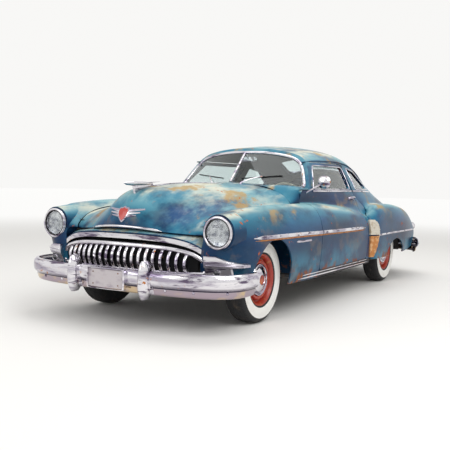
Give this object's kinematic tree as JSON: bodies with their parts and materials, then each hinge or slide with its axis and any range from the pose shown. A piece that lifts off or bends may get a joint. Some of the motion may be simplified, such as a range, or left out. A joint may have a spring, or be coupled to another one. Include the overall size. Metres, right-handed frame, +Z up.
{
  "type": "fastback car",
  "caption": "1950s fastback car with a toothed grille, rounded wings, opening doors, bonnet and boot lid, steered front wheels and free-rolling wheels.",
  "frame": {"origin": "on the floor under the middle of the car, halfway along its length and width", "axes": "+X towards the car's front, +Y to the car's left, +Z up"},
  "size_m": [5.3026, 2.0584, 1.5283],
  "materials": {
    "body_paint": "worn gloss",
    "chrome": "polished, rust-flecked",
    "tyre": "matt",
    "wheel_paint": "worn gloss",
    "glass": "clear",
    "lens": "fluted",
    "chassis": "matt",
    "iron": "matt",
    "rusty_steel": "matt",
    "upholstery": "woven",
    "dash_paint": "gloss",
    "rim_plastic": "gloss"
  },
  "bodies": {
    "shell": {"frame": "chassis", "front_suspension": "chassis", "engine_block": "iron", "rear_axle": "iron", "exhaust": "rusty_steel", "fuel_tank": "chassis", "floor": "chassis", "cowl": "body_paint", "roof": "body_paint", "quarter_left": "body_paint", "quarter_right": "body_paint", "tail_panel": "body_paint", "rear_fender_left": "body_paint", "rear_fender_right": "body_paint", "front_fender_left": "body_paint", "front_fender_right": "body_paint", "nose_panel": "body_paint", "grille": "chrome", "front_bumper": "chrome", "rear_bumper": "chrome", "lamp_housings": "chrome", "lamp_lenses": "lens", "fixed_glass": "glass", "seats": "upholstery", "dashboard": "dash_paint"},
    "bonnet_lid": {"bonnet": "body_paint", "bonnet_ornament": "chrome"},
    "boot": {"boot_lid": "body_paint"},
    "left_door": {"door_left": "body_paint", "door_glass_left": "glass", "door_mirror": "chrome"},
    "right_door": {"door_right": "body_paint", "door_glass_right": "glass"},
    "steering": {"steering_wheel": "rim_plastic"},
    "left_knuckle": {"knuckle_left": "iron"},
    "right_knuckle": {"knuckle_right": "iron"},
    "track_rod": {"tie_rod": "iron"},
    "front_left_wheel": {"tyre_front_left": "tyre", "wheel_front_left": "wheel_paint"},
    "front_right_wheel": {"tyre_front_right": "tyre", "wheel_front_right": "wheel_paint"},
    "rear_left_wheel": {"tyre_rear_left": "tyre", "wheel_rear_left": "wheel_paint"},
    "rear_right_wheel": {"tyre_rear_right": "tyre", "wheel_rear_right": "wheel_paint"}
  },
  "joints": [
    {"name": "left_door_hinge", "type": "hinge", "parent": "shell", "child": "left_door", "pos_m": [0.84, 0.963, 0.8], "axis": [0, 0, -1], "range_deg": [0, 62]},
    {"name": "right_door_hinge", "type": "hinge", "parent": "shell", "child": "right_door", "pos_m": [0.84, -0.963, 0.8], "axis": [0, 0, 1], "range_deg": [0, 62]},
    {"name": "bonnet_hinge", "type": "hinge", "parent": "shell", "child": "bonnet_lid", "pos_m": [0.928, 0, 1.12], "axis": [0, -1, 0], "range_deg": [0, 48]},
    {"name": "boot_hinge", "type": "hinge", "parent": "shell", "child": "boot", "pos_m": [-1.545, 0, 1.285], "axis": [0, 1, 0], "range_deg": [0, 55]},
    {"name": "steering_left", "type": "hinge", "parent": "shell", "child": "left_knuckle", "pos_m": [1.68, 0.655, 0.35], "axis": [0, 0, 1], "range_deg": [-30, 30]},
    {"name": "steering_right", "type": "hinge", "parent": "shell", "child": "right_knuckle", "pos_m": [1.68, -0.655, 0.35], "axis": [0, 0, 1], "range_deg": [-30, 30]},
    {"name": "tie_rod_end", "type": "hinge", "parent": "left_knuckle", "child": "track_rod", "pos_m": [1.53, 0.6, 0.289], "axis": [0, 0, 1], "range_deg": [-30, 30]},
    {"name": "steering_wheel_turn", "type": "hinge", "parent": "shell", "child": "steering", "pos_m": [0.32, 0.37, 0.925], "axis": [-0.9336, 0, 0.3584], "range_deg": [-481, 481]},
    {"name": "front_left_roll", "type": "hinge", "parent": "left_knuckle", "child": "front_left_wheel", "pos_m": [1.68, 0.745, 0.35], "axis": [0, 1, 0], "continuous": true},
    {"name": "front_right_roll", "type": "hinge", "parent": "right_knuckle", "child": "front_right_wheel", "pos_m": [1.68, -0.745, 0.35], "axis": [0, 1, 0], "continuous": true},
    {"name": "rear_left_roll", "type": "hinge", "parent": "shell", "child": "rear_left_wheel", "pos_m": [-1.395, 0.775, 0.35], "axis": [0, 1, 0], "continuous": true},
    {"name": "rear_right_roll", "type": "hinge", "parent": "shell", "child": "rear_right_wheel", "pos_m": [-1.395, -0.775, 0.35], "axis": [0, 1, 0], "continuous": true}
  ],
  "couplings": [
    {"joint": "steering_right", "follows": "steering_left", "ratio": 1},
    {"joint": "tie_rod_end", "follows": "steering_left", "ratio": -1},
    {"joint": "steering_wheel_turn", "follows": "steering_left", "ratio": 16}
  ]
}
